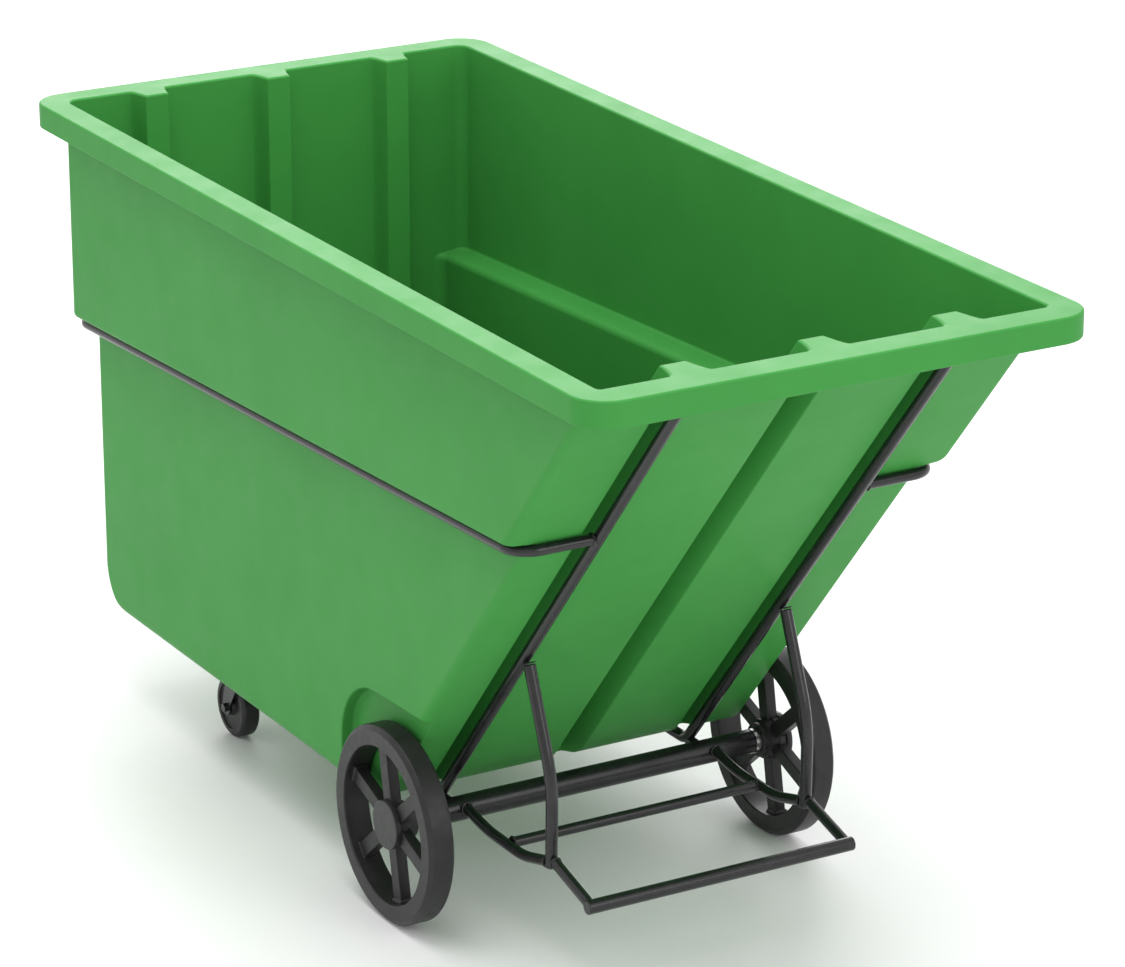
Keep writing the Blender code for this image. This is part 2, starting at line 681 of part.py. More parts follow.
def make_axle_and_wheels():
    centre = (0, AXLE_Y, WHEEL_R)
    shaft = disc(-SHAFT_HALF, SHAFT_HALF, SHAFT_D / 2, BORE_SEGMENTS, 0.001)
    add_object("axle_shaft", shaft, ZINC_PLATE, centre)
    bush_r = WHEEL_BORE_R - GAP / 2
    bush_bore_r = over_flats(BUSH_BORE_R, BORE_SEGMENTS)
    bush_in = HUB_IN_X + 0.0005
    bush_out = HUB_OUT_X - 0.0005
    inner_bush = ring(bush_in, bush_in + BUSH_LENGTH, bush_bore_r, bush_r, BORE_SEGMENTS)
    outer_bush = ring(bush_out - BUSH_LENGTH, bush_out, bush_bore_r, bush_r, BORE_SEGMENTS)
    washer_x = HUB_OUT_X + GAP
    washer_thick = 0.0018
    ring_x = washer_x + washer_thick + GAP
    turning = (
        ("_wheel", moved(wheel_mesh(), (WHEEL_X, 0, 0)), WHEEL_PLASTIC),
        ("_inner_bush", inner_bush, BUSH_PLASTIC),
        ("_outer_bush", outer_bush, BUSH_PLASTIC),
        ("_hub_cap", hub_cap_mesh(), WHEEL_PLASTIC),
    )
    fixed = (
        ("_inner_washer", ring(AXLE_TUBE_HALF + 0.0015, HUB_IN_X - 0.001, WASHER_BORE_R, 0.0190, 20)),
        ("_outer_washer", ring(washer_x, washer_x + washer_thick, WASHER_BORE_R, 0.0180, 20)),
        ("_retaining_ring", ring(ring_x, ring_x + 0.0015, WASHER_BORE_R, 0.0150, 16)),
    )
    for side, label in ((-1, "left"), (1, "right")):
        spin = empty(label + "_wheel_axis", (side * WHEEL_X, AXLE_Y, WHEEL_R))
        bpy.context.view_layer.update()
        for name, mesh, finish in turning:
            parent_to(add_object(label + name, on_side(mesh, side), finish, centre), spin)
        for name, mesh in fixed:
            add_object(label + name, on_side(mesh, side), ZINC_PLATE, centre)


# ---- the casters --------------------------------------------------------------------------------
PAD_TOP_Z = RAIL_LOW_Z - RAIL_D / 2 - GAP
PAD_THICK = 0.004
PLATE_THICK = 0.003
RACE_DEPTH = 0.006
CROWN_THICK = 0.0035
LEG_IN = 0.0190
LEG_OUT = 0.0220
KINGPIN_R = 0.0060
SLEEVE_HALF = 0.0187
CASTER_BOLT_X = 0.032
CASTER_BOLT_Y = 0.040
PLATE_TOP_Z = PAD_TOP_Z - PAD_THICK - GAP
CROWN_TOP_Z = PLATE_TOP_Z - PLATE_THICK - RACE_DEPTH - 0.0008


def bolt_places():
    return [(sx * CASTER_BOLT_X, sy * CASTER_BOLT_Y) for sx in (-1, 1) for sy in (-1, 1)]


def bolt_holes(z):
    """Cutter for the four bolt holes of a pad or plate, centred on a height."""
    hole = turn_upright(disc(-0.02, 0.02, CASTER_BOLT_D / 2 + GAP, 12))
    return joined(*[moved(hole, (x, y, z)) for x, y in bolt_places()])


def pad_mesh():
    pad = prism(rounded_rectangle(0.044, 0.054, 0.006, 2), PAD_TOP_Z - PAD_THICK, PAD_TOP_Z)
    return boolean(pad, bolt_holes(PAD_TOP_Z), "DIFFERENCE")


def plate_mesh():
    """Top plate with the bearing race pressed out below it."""
    low = PLATE_TOP_Z - PLATE_THICK
    plate = prism(rounded_rectangle(0.042, 0.051, 0.006, 2), low, PLATE_TOP_Z)
    race = revolve([(-RACE_DEPTH, 0), (-RACE_DEPTH, 0.0200), (-0.0040, 0.0240), (0.001, 0.0260),
                    (0.001, 0)], 20)
    plate = boolean(plate, moved(turn_upright(race), (0, 0, low)), "UNION")
    pin_hole = moved(turn_upright(disc(-0.03, 0.03, KINGPIN_R + GAP, 16)), (0, 0, PLATE_TOP_Z))
    return boolean(plate, joined(bolt_holes(PLATE_TOP_Z), pin_hole), "DIFFERENCE")


def plate_bolt_mesh():
    """Bolt with its head under the plate, from z = 0 at the plate's underside."""
    length = PLATE_THICK + PAD_THICK + 2 * GAP + 0.003
    head = prism(hexagon(BOLT_HEAD_ACROSS), -BOLT_HEAD_HEIGHT, 0)
    shank = turn_upright(disc(-0.001, length, CASTER_BOLT_D / 2, 16))
    return boolean(head, shank, "UNION")


def fork_mesh():
    """Crown with two legs down to the wheel's axle; kingpin on the Z axis, wheel axle along X."""
    crown = prism(rounded_rectangle(LEG_OUT, 0.026, 0.008, 3), CROWN_TOP_Z - CROWN_THICK, CROWN_TOP_Z)
    shoulder_z = CROWN_TOP_Z - 0.001
    outline = [(-0.024, shoulder_z), (0.024, shoulder_z)]
    eye = 0.013
    for step in range(9):
        angle = math.radians(20 - 220 * step / 8)
        outline.append((CASTER_TRAIL + eye * math.cos(angle), CASTER_WHEEL_R + eye * math.sin(angle)))
    legs = []
    for low, high in ((-LEG_OUT, -LEG_IN), (LEG_IN, LEG_OUT)):
        legs.append(loft([[(low, y, z) for y, z in outline], [(high, y, z) for y, z in outline]]))
    fork = boolean(crown, joined(*legs), "UNION")
    pin_hole = moved(turn_upright(disc(-0.01, 0.01, KINGPIN_R + GAP, 16)), (0, 0, CROWN_TOP_Z))
    axle_hole = moved(disc(-0.04, 0.04, CASTER_BOLT_D / 2 + GAP, 16), (0, CASTER_TRAIL, CASTER_WHEEL_R))
    return boolean(fork, joined(pin_hole, axle_hole), "DIFFERENCE")


def kingpin_mesh():
    """Pin with its head under the fork's crown, from z = 0 at the crown's underside."""
    length = PLATE_TOP_Z - CROWN_TOP_Z + CROWN_THICK
    return turn_upright(revolve([(-0.0040, 0), (-0.0040, 0.0085), (-0.0015, 0.0105), (0, 0.0105),
                                 (0, KINGPIN_R), (length, KINGPIN_R), (length, 0)], 16))


def caster_wheel_mesh():
    w = CASTER_WHEEL_HALF
    r = over_flats(CASTER_WHEEL_R, CASTER_WHEEL_SEGMENTS)
    hub = 0.0172
    bore = 0.0065
    half = [(w - 0.007, r), (w - 0.002, r - 0.002), (w, r - 0.006), (w, r - 0.011),
            (w - 0.003, r - 0.013), (w - 0.003, 0.0145), (hub, 0.0120), (hub, bore)]
    return revolve([(-x, radius) for x, radius in reversed(half)] + half, CASTER_WHEEL_SEGMENTS, closed=True)


def caster_axle_bolt_mesh():
    head = moved(prism(hexagon(BOLT_HEAD_ACROSS), 0, BOLT_HEAD_HEIGHT), (LEG_OUT + GAP, 0, 0), LAY_ALONG_X)
    return boolean(head, disc(-0.0310, LEG_OUT + 0.001, CASTER_BOLT_D / 2, 16), "UNION")


def caster_axle_nut_mesh():
    thick = 0.007
    nut = moved(prism(hexagon(BOLT_HEAD_ACROSS), 0, thick), (-LEG_OUT - GAP - thick, 0, 0), LAY_ALONG_X)
    return boolean(nut, disc(-0.06, 0.0, CASTER_BOLT_D / 2 + GAP, 16), "DIFFERENCE")


def make_casters():
    pad = pad_mesh()
    plate = plate_mesh()
    plate_bolt = plate_bolt_mesh()
    kingpin = kingpin_mesh()
    fork = fork_mesh()
    wheel = caster_wheel_mesh()
    sleeve = ring(-SLEEVE_HALF, SLEEVE_HALF, CASTER_BOLT_D / 2 + GAP, 0.0064, 20)
    axle_bolt = caster_axle_bolt_mesh()
    axle_nut = caster_axle_nut_mesh()
    for side, label in ((-1, "left_caster"), (1, "right_caster")):
        x = side * CHANNEL_X
        axle = (x, CASTER_Y + CASTER_TRAIL, CASTER_WHEEL_R)
        swivel = empty(label + "_swivel_axis", (x, CASTER_Y, CROWN_TOP_Z))
        roll = empty(label + "_roll_axis", axle)
        bpy.context.view_layer.update()
        parent_to(roll, swivel)
        bpy.context.view_layer.update()

        add_object(label + "_pad", on_side(pad, side), BLACK_PAINT, (x, CASTER_Y, 0))
        add_object(label + "_plate", on_side(plate, side), ZINC_PLATE, (x, CASTER_Y, 0))
        for number, (bolt_x, bolt_y) in enumerate(bolt_places(), start=1):
            place = (x + bolt_x, CASTER_Y + bolt_y, PLATE_TOP_Z - PLATE_THICK - GAP)
            add_object(label + "_bolt_" + str(number), on_side(plate_bolt, side), ZINC_PLATE, place)
        pin_place = (x, CASTER_Y, CROWN_TOP_Z - CROWN_THICK - GAP)
        add_object(label + "_kingpin", on_side(kingpin, side), ZINC_PLATE, pin_place)

        swinging = [add_object(label + "_fork", on_side(fork, side), BLACK_PAINT, (x, CASTER_Y, 0))]
        for name, mesh in (("_sleeve", sleeve), ("_axle_bolt", axle_bolt), ("_axle_nut", axle_nut)):
            swinging.append(add_object(label + name, on_side(mesh, side), ZINC_PLATE, axle))
        for obj in swinging:
            parent_to(obj, swivel)
        parent_to(add_object(label + "_wheel", on_side(wheel, side), WHEEL_PLASTIC, axle), roll)


def centre_on_origin():
    """Move the model so that the middle of its length is at Y = 0."""
    for obj in bpy.data.objects:
        if obj.parent is None:
            obj.location.y -= RIM_LENGTH / 2


def build():
    clear_scene()
    make_tub()
    make_rails()
    make_ties()
    make_belt_rod()
    make_axle_tube()
    make_foot_frame()
    make_lip_fixings()
    make_axle_and_wheels()
    make_casters()
    centre_on_origin()


build()
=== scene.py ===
"""Looks of the tilt truck: a moulded plastic tub on a bent-tube frame, with spoked wheels and swivel casters.

Metres, +Z up, -Y towards the dumping end. The dimensions count Y from the rim's front edge, as the CAD's
own do. mid_y() turns such a Y into one of the row frame, whose origin is under the rim's middle.
"""
import json
import math
import random

import bmesh
import bpy
from mathutils import Matrix, Vector


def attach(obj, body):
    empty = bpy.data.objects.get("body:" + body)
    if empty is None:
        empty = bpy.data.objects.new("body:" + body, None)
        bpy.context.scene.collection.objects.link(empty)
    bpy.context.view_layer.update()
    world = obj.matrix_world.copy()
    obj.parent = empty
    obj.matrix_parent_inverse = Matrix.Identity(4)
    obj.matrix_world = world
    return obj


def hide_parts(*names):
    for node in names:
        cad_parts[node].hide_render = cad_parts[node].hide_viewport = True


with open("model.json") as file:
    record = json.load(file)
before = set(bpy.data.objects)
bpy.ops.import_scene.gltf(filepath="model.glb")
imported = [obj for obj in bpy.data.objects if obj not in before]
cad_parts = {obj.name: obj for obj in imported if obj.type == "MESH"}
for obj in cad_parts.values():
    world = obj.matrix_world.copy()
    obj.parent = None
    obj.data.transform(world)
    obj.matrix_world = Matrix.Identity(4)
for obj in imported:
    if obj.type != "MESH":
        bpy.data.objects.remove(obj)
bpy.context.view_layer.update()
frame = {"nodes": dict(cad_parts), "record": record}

# ---- dimensions, in metres ----------------------------------------------------------------------
RIM_WIDTH = 0.800
RIM_LENGTH = 1.747
RIM_TOP = 1.005
RIM_DEPTH = 0.039
RIM_CORNER = 0.055
RIM_LOWER_ROUND = 0.0025
RIM_UPPER_ROUND = 0.0035
WALL = 0.006

SLOPE_ANGLE = math.radians(50.1)
SLOPE_TOP_Y = 0.047
REAR_Y = 1.705
UPPER_HALF = 0.361
LOWER_HALF = 0.319
FLOOR_Z = 0.155
STEP_Z = 0.682               # height of the side step at STEP_REF_Y
STEP_REF_Y = 0.90
STEP_TILT = 0.042            # rise of the step towards the front, per metre
STEP_FALL = 0.003            # rise of the step's underside from its root to its outer edge

FRONT_FOOT_RADIUS = 0.070
REAR_FOOT_RADIUS = 0.080
SIDE_FOOT_RADIUS = 0.020
FRONT_CORNER = 0.012
REAR_CORNER = 0.025
STEP_EDGE = 0.010
STEP_ROOT = 0.006

CHANNEL_X = 0.2145
CHANNEL_MOUTH = 0.024
CHANNEL_FLOOR = 0.014
CHANNEL_DEPTH = 0.036
CHANNEL_SOFT = 0.0012        # how far a channel's edges are eased to each side
RIB_ROOT = 0.0055            # the same at the root of a rib, inside the tub
RIB_FLARE = 0.004            # extra half width of a rib at its root
MOUTH_ROUND = 0.0035         # rounding of the rim's inner edge

ARCH_X = 0.3000              # flat inner face of a wheel recess
ARCH_REAR_Y = 0.860
ARCH_TOP_Z = 0.330
ARCH_TOP_DROP = 0.006        # from that height down to the recess's top at its rear
ARCH_TOP_RISE = 0.012        # and up to its top at the front
ARCH_CORNER = 0.105          # rounding of a recess's upper rear corner
ARCH_ROOT = 0.006            # rounding between its inner face and its wall
ARCH_FLARE = 0.003           # rounding of its outer edge
ARCH_DRAFT = 0.002           # slant of its wall

RAIL_D = 0.018
RAIL_STANDOFF = 0.0095       # from the slope's face to the rail's middle
BELT_D = 0.016
BELT_CLEAR = 0.013           # from the lower wall to the belt rod
BELT_REAR_CLEAR = 0.0008     # from the rear wall to the belt rod
BELT_DROP = 0.0012           # from the step down to the belt rod
BELT_FRONT_BEND = 0.038
BELT_REAR_BEND = 0.036
RUNNER_D = 0.016
FOOT_BAR_D = 0.021
AXLE_Y = 0.688
AXLE_TUBE_D = 0.0375
AXLE_TUBE_HALF = 0.287
AXLE_TUBE_BORE_R = 0.0103
GAP = 0.0003
WELD_GAP = 0.0026            # between bar ends and the bars that they are welded to

WHEEL_R = 0.150
WHEEL_X = 0.3245
WHEEL_HALF = 0.0210
RING_INNER_R = 0.119
HUB_R = 0.037
HUB_IN_X = 0.2980
HUB_OUT_X = 0.3326
SPOKES = 6
SPOKE_TURN = -math.radians(10.5)  # turn of the spokes at rest
SPOKE_SHIFT = -0.0008        # spokes' middle plane from the wheel's
WHEEL_BORE_R = 0.0143
CAP_THICK = 0.0085
CAP_RECESS = 0.0060          # depth of the hollow behind a hub cap
CAP_RECESS_R = 0.0215

CASTER_Y = 1.394
CASTER_TRAIL = 0.032         # caster axle behind its swivel axis
CASTER_WHEEL_R = 0.0508
CASTER_WHEEL_HALF = 0.0155

WELD_BEAD = 0.0018           # half thickness of a weld bead
SIDES = ((-1, "left"), (1, "right"))


def mid_y(y):
    return y - RIM_LENGTH / 2


# ---- materials ----------------------------------------------------------------------------------
def node_material(name, color, roughness, metallic=0.0):
    """A Principled material and its tree, ready for procedural colour, roughness and bump."""
    mat = bpy.data.materials.new(name)
    mat.use_nodes = True
    tree = mat.node_tree
    shader = tree.nodes["Principled BSDF"]
    shader.inputs["Base Color"].default_value = (*color, 1.0)
    shader.inputs["Roughness"].default_value = roughness
    shader.inputs["Metallic"].default_value = metallic
    return mat, tree, shader


def noise_node(tree, coords, scale, detail, rough):
    node = tree.nodes.new("ShaderNodeTexNoise")
    node.inputs["Scale"].default_value = scale
    node.inputs["Detail"].default_value = detail
    node.inputs["Roughness"].default_value = rough
    tree.links.new(coords, node.inputs["Vector"])
    return node.outputs["Fac"]


def spread(tree, value, low, high):
    """Map a noise value, which keeps near the middle, to a range of numbers."""
    node = tree.nodes.new("ShaderNodeMapRange")
    node.inputs["From Min"].default_value = 0.30
    node.inputs["From Max"].default_value = 0.70
    node.inputs["To Min"].default_value = low
    node.inputs["To Max"].default_value = high
    tree.links.new(value, node.inputs["Value"])
    return node.outputs["Result"]


def two_tone(tree, value, dark, light):
    ramp = tree.nodes.new("ShaderNodeValToRGB")
    ramp.color_ramp.elements[0].position = 0.32
    ramp.color_ramp.elements[0].color = (*dark, 1.0)
    ramp.color_ramp.elements[1].position = 0.68
    ramp.color_ramp.elements[1].color = (*light, 1.0)
    tree.links.new(value, ramp.inputs["Fac"])
    return ramp.outputs["Color"]


def bump(tree, height, strength, distance, under=None):
    node = tree.nodes.new("ShaderNodeBump")
    node.inputs["Strength"].default_value = strength
    node.inputs["Distance"].default_value = distance
    tree.links.new(height, node.inputs["Height"])
    if under is not None:
        tree.links.new(under, node.inputs["Normal"])
    return node.outputs["Normal"]


def object_coords(tree):
    return tree.nodes.new("ShaderNodeTexCoord").outputs["Object"]


def grained(name, dark, light, rough_low, rough_high, grain, cloud, wave=0.0, specular=0.5):
    """Moulded plastic or paint: cloudy colour, uneven gloss, a fine grain and a slow unevenness."""
    mat, tree, shader = node_material(name, light, rough_high)
    shader.inputs["Specular IOR Level"].default_value = specular
    coords = object_coords(tree)
    cloudy = noise_node(tree, coords, cloud, 4.0, 0.6)
    tree.links.new(two_tone(tree, cloudy, dark, light), shader.inputs["Base Color"])
    gloss = noise_node(tree, coords, cloud * 3.0, 3.0, 0.6)
    tree.links.new(spread(tree, gloss, rough_low, rough_high), shader.inputs["Roughness"])
    normal = None
    if wave:
        normal = bump(tree, noise_node(tree, coords, 7.0, 1.0, 0.4), 1.0, wave)
    fine = noise_node(tree, coords, grain, 2.0, 0.55)
    tree.links.new(bump(tree, fine, 0.30, 0.0004, normal), shader.inputs["Normal"])
    return mat


def plated(name, color, rough_low, rough_high):
    """Zinc plate or drawn bar: metal with a mottled gloss."""
    mat, tree, shader = node_material(name, color, rough_low, 1.0)
    coords = object_coords(tree)
    mottle = noise_node(tree, coords, 160.0, 4.0, 0.65)
    tree.links.new(spread(tree, mottle, rough_low, rough_high), shader.inputs["Roughness"])
    dull = tuple(0.72 * c for c in color)
    tree.links.new(two_tone(tree, mottle, dull, color), shader.inputs["Base Color"])
    fine = noise_node(tree, coords, 2200.0, 1.0, 0.5)
    tree.links.new(bump(tree, fine, 0.12, 0.0002), shader.inputs["Normal"])
    return mat


GREEN = grained("green_polyethylene", (0.046, 0.264, 0.050), (0.052, 0.284, 0.056), 0.42, 0.50, 700.0, 5.0,
                wave=0.0004, specular=0.12)
PAINT = grained("black_powder_coat", (0.010, 0.009, 0.011), (0.016, 0.015, 0.017), 0.17, 0.25, 1100.0, 40.0,
                specular=0.45)
WHEEL_GREY = grained("dark_grey_plastic", (0.013, 0.012, 0.013), (0.020, 0.019, 0.020), 0.36, 0.48,
                     900.0, 30.0, specular=0.35)
CAP_GREY = grained("hub_cap_plastic", (0.024, 0.023, 0.024), (0.031, 0.030, 0.031), 0.36, 0.48, 900.0, 60.0,
                   specular=0.40)
NYLON = grained("natural_nylon", (0.62, 0.60, 0.52), (0.72, 0.70, 0.62), 0.34, 0.46, 1500.0, 60.0)
DARK_ZINC = plated("black_zinc_plate", (0.11, 0.11, 0.11), 0.30, 0.45)
ZINC = plated("zinc_plate", (0.60, 0.60, 0.58), 0.24, 0.44)
BAR_STEEL = plated("drawn_steel", (0.56, 0.56, 0.55), 0.20, 0.34)

SLOT_MATERIALS = {
    "green_plastic": GREEN,
    "frame_paint": PAINT,
    "fork_paint": PAINT,
    "wheel_plastic": WHEEL_GREY,
    "cap_plastic": CAP_GREY,
    "caster_tyre_plastic": WHEEL_GREY,
    "bush_nylon": NYLON,
    "shaft_steel": BAR_STEEL,
    "zinc_plate": ZINC,
}


def finish_cad_nodes():
    """Give every carried CAD node the procedural material of its own slot."""
    slots = {part["node"]: part["material_slot"] for part in frame["record"]["subparts"]}
    for name, obj in frame["nodes"].items():
        for place in obj.material_slots:
            place.material = DARK_ZINC if "caster_axle" in name else SLOT_MATERIALS[slots[name]]


# ---- mesh helpers -------------------------------------------------------------------------------
def arc_angles(steps, sweep=math.pi / 2):
    """Angles of an arc's points, from zero to the sweep."""
    return [sweep * step / steps for step in range(steps + 1)]


def mesh_from(verts, faces, merge=0.0):
    mesh = bpy.data.meshes.new("shape")
    mesh.from_pydata([tuple(v) for v in verts], [], faces)
    bm = bmesh.new()
    bm.from_mesh(mesh)
    if merge:
        bmesh.ops.remove_doubles(bm, verts=bm.verts, dist=merge)
    bmesh.ops.recalc_face_normals(bm, faces=bm.faces)
    bm.to_mesh(mesh)
    bm.free()
    return mesh


def joined(*meshes):
    bm = bmesh.new()
    for mesh in meshes:
        bm.from_mesh(mesh)
    out = bpy.data.meshes.new("shape")
    bm.to_mesh(out)
    bm.free()
    return out


def moved(mesh, offset=(0, 0, 0), rotation=None):
    out = mesh.copy()
    matrix = Matrix.Translation(offset)
    out.transform(matrix @ rotation if rotation is not None else matrix)
    return out


def mirrored(mesh):
    out = mesh.copy()
    out.transform(Matrix.Scale(-1, 4, (1, 0, 0)))
    out.flip_normals()
    return out


def boolean(base, cutter, operation):
    """Base mesh combined with a cutter mesh, evaluated and returned as a new mesh."""
    base_obj = bpy.data.objects.new("base", base)
    cut_obj = bpy.data.objects.new("cutter", cutter)
    for obj in (base_obj, cut_obj):
        bpy.context.scene.collection.objects.link(obj)
    modifier = base_obj.modifiers.new("cut", "BOOLEAN")
    modifier.operation = operation
    modifier.solver = "EXACT"
    modifier.object = cut_obj
    bpy.context.view_layer.update()
    evaluated = base_obj.evaluated_get(bpy.context.evaluated_depsgraph_get())
    result = bpy.data.meshes.new_from_object(evaluated)
    bpy.data.objects.remove(base_obj, do_unlink=True)
    bpy.data.objects.remove(cut_obj, do_unlink=True)
    return result


def piece(name, mesh, mat, body, replaces=(), angle=35.0):
    """Link a mesh, in the row frame, as one shown piece that rides on a body."""
    mesh.materials.clear()
    mesh.materials.append(mat)
    mesh.polygons.foreach_set("material_index", [0] * len(mesh.polygons))
    obj = bpy.data.objects.new(name, mesh)
    bpy.context.scene.collection.objects.link(obj)
    mesh.shade_smooth()
    mesh.set_sharp_from_angle(angle=math.radians(angle))
    weigh = obj.modifiers.new("weighted_normals", "WEIGHTED_NORMAL")
    weigh.keep_sharp = True
    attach(obj, body)
    if replaces:
        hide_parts(*replaces)


def loft(loops):
    """Closed solid through loops of equal length, with flat caps on the first and the last."""
    count = len(loops[0])
    verts = [point for loop in loops for point in loop]
    faces = []
    for level in range(len(loops) - 1):
        low = level * count
        high = low + count
        for i in range(count):
            j = (i + 1) % count
            faces.append((low + i, low + j, high + j, high + i))
    faces.append(tuple(reversed(range(count))))
    faces.append(tuple(range(len(verts) - count, len(verts))))
    return mesh_from(verts, faces)


def revolve(profile, segments, closed=False):
    """Turn (x, r) points about the X axis; the profile starts and ends on the axis unless closed."""
    verts = []
    for step in range(segments):
        angle = 2 * math.pi * step / segments
        verts += [(x, r * math.cos(angle), r * math.sin(angle)) for x, r in profile]
    count = len(profile)
    spans = count if closed else count - 1
    faces = []
    for step in range(segments):
        here = step * count
        there = ((step + 1) % segments) * count
        for i in range(spans):
            j = (i + 1) % count
            faces.append((here + i, here + j, there + j, there + i))
    return mesh_from(verts, faces, 1e-6)


def eased(profile, radius, steps=4, closed=False):
    """A 2-D profile whose corners are rounded; radius is one number, or one for each point."""
    count = len(profile)
    radii = radius if isinstance(radius, (list, tuple)) else [radius] * count
    out = []
    for i, point in enumerate(profile):
        if not closed and i in (0, count - 1):
            out.append(point)
            continue
        here = Vector(point)
        before = Vector(profile[i - 1]) - here
        after = Vector(profile[(i + 1) % count]) - here
        if radii[i] <= 0 or before.angle(after) > math.radians(178):
            out.append(point)
            continue
        half = before.angle(after) / 2
        reach = min(radii[i] / math.tan(half), 0.48 * before.length, 0.48 * after.length)
        start = here + before.normalized() * reach
        end = here + after.normalized() * reach
        for step in range(steps + 1):
            t = step / steps
            out.append(tuple((1 - t) ** 2 * start + 2 * t * (1 - t) * here + t ** 2 * end))
    return out


def disc(x_low, x_high, radius, segments):
    return revolve([(x_low, 0), (x_low, radius), (x_high, radius), (x_high, 0)], segments)


def prism(outline, low, high):
    return loft([[(x, y, low) for x, y in outline], [(x, y, high) for x, y in outline]])


def turn_upright(mesh):
    return moved(mesh, rotation=Matrix.Rotation(-math.pi / 2, 4, "Y"))


def rounded_rectangle(half_x, half_y, radius, steps=8):
    points = []
    for sign_x, sign_y, start in ((1, -1, -90), (1, 1, 0), (-1, 1, 90), (-1, -1, 180)):
        for step in range(steps + 1):
            angle = math.radians(start + 90 * step / steps)
            points.append((sign_x * (half_x - radius) + radius * math.cos(angle),
                           sign_y * (half_y - radius) + radius * math.sin(angle)))
    return points


def bent(points, radius, steps=12):
    """Points of a route with an arc of the given radius at each inner corner."""
    points = [Vector(p) for p in points]
    radii = radius if isinstance(radius, (list, tuple)) else [radius] * (len(points) - 2)
    route = [points[0]]
    for before, corner, after, bend in zip(points, points[1:], points[2:], radii):
        arriving = (corner - before).normalized()
        leaving = (after - corner).normalized()
        turn = arriving.angle(leaving)
        reach = bend * math.tan(turn / 2)
        inward = (leaving - arriving).normalized()
        centre = corner + inward * bend / math.cos(turn / 2)
        first = corner - arriving * reach - centre
        axis = arriving.cross(leaving).normalized()
        for step in range(steps + 1):
            route.append(centre + Matrix.Rotation(turn * step / steps, 3, axis) @ first)
    route.append(points[-1])
    return route


def tube_mesh(route, diameter, sides=24, ease=0.0012):
    """Round bar along a route, with slightly eased square ends."""
    route = [Vector(p) for p in route]
    radius = diameter / 2
    first = (route[1] - route[0]).normalized()
    last = (route[-1] - route[-2]).normalized()
    rings = [(route[0], first, radius - ease), (route[0] + first * ease, first, radius)]
    for before, here, after in zip(route, route[1:], route[2:]):
        along = (after - here).normalized() + (here - before).normalized()
        rings.append((here, along.normalized(), radius))
    rings += [(route[-1] - last * ease, last, radius), (route[-1], last, radius - ease)]
    side = first.orthogonal().normalized()
    loops = []
    for centre, along, reach in rings:
        side = (side - along * side.dot(along)).normalized()
        up = along.cross(side)
        turns = [2 * math.pi * k / sides for k in range(sides)]
        loops.append([centre + reach * (math.cos(t) * side + math.sin(t) * up) for t in turns])
    return loft(loops)


# ---- the tub ------------------------------------------------------------------------------------
def slope_y(z, inset=0.0):
    """Y of the slope's face at a height; a positive inset moves it into the tub along its normal."""
    return SLOPE_TOP_Y + (RIM_TOP - z) / math.tan(SLOPE_ANGLE) + inset / math.sin(SLOPE_ANGLE)


def front_y(z, inset):
    radius = FRONT_FOOT_RADIUS - inset
    centre_z = FLOOR_Z + inset + radius
    centre_y = slope_y(centre_z, inset) + radius / math.sin(SLOPE_ANGLE)
    if z > centre_z - radius * math.cos(SLOPE_ANGLE):
        return slope_y(z, inset)
    return centre_y - math.sqrt(max(radius ** 2 - (z - centre_z) ** 2, 0.0))


def rear_y(z, inset):
    radius = REAR_FOOT_RADIUS - inset
    centre_z = FLOOR_Z + inset + radius
    centre_y = REAR_Y - inset - radius
    if z > centre_z:
        return REAR_Y - inset
    return centre_y + math.sqrt(max(radius ** 2 - (z - centre_z) ** 2, 0.0))


def channel_shares(mouth, floor, root, steps=5):
    """Offsets from a channel's middle out to its eased edge, each with its share of the full depth."""
    fall = 1 / (mouth - floor)
    shares = [(0.0, 1.0)]
    for k in range(steps + 1):
        x = 2 * CHANNEL_SOFT * k / steps
        shares.append((floor - CHANNEL_SOFT + x, 1 - fall * x ** 2 / (4 * CHANNEL_SOFT)))
    for k in range(steps + 1):
        x = 2 * root * (1 - k / steps)
        shares.append((mouth + root - x, fall * x ** 2 / (4 * root)))
    return shares


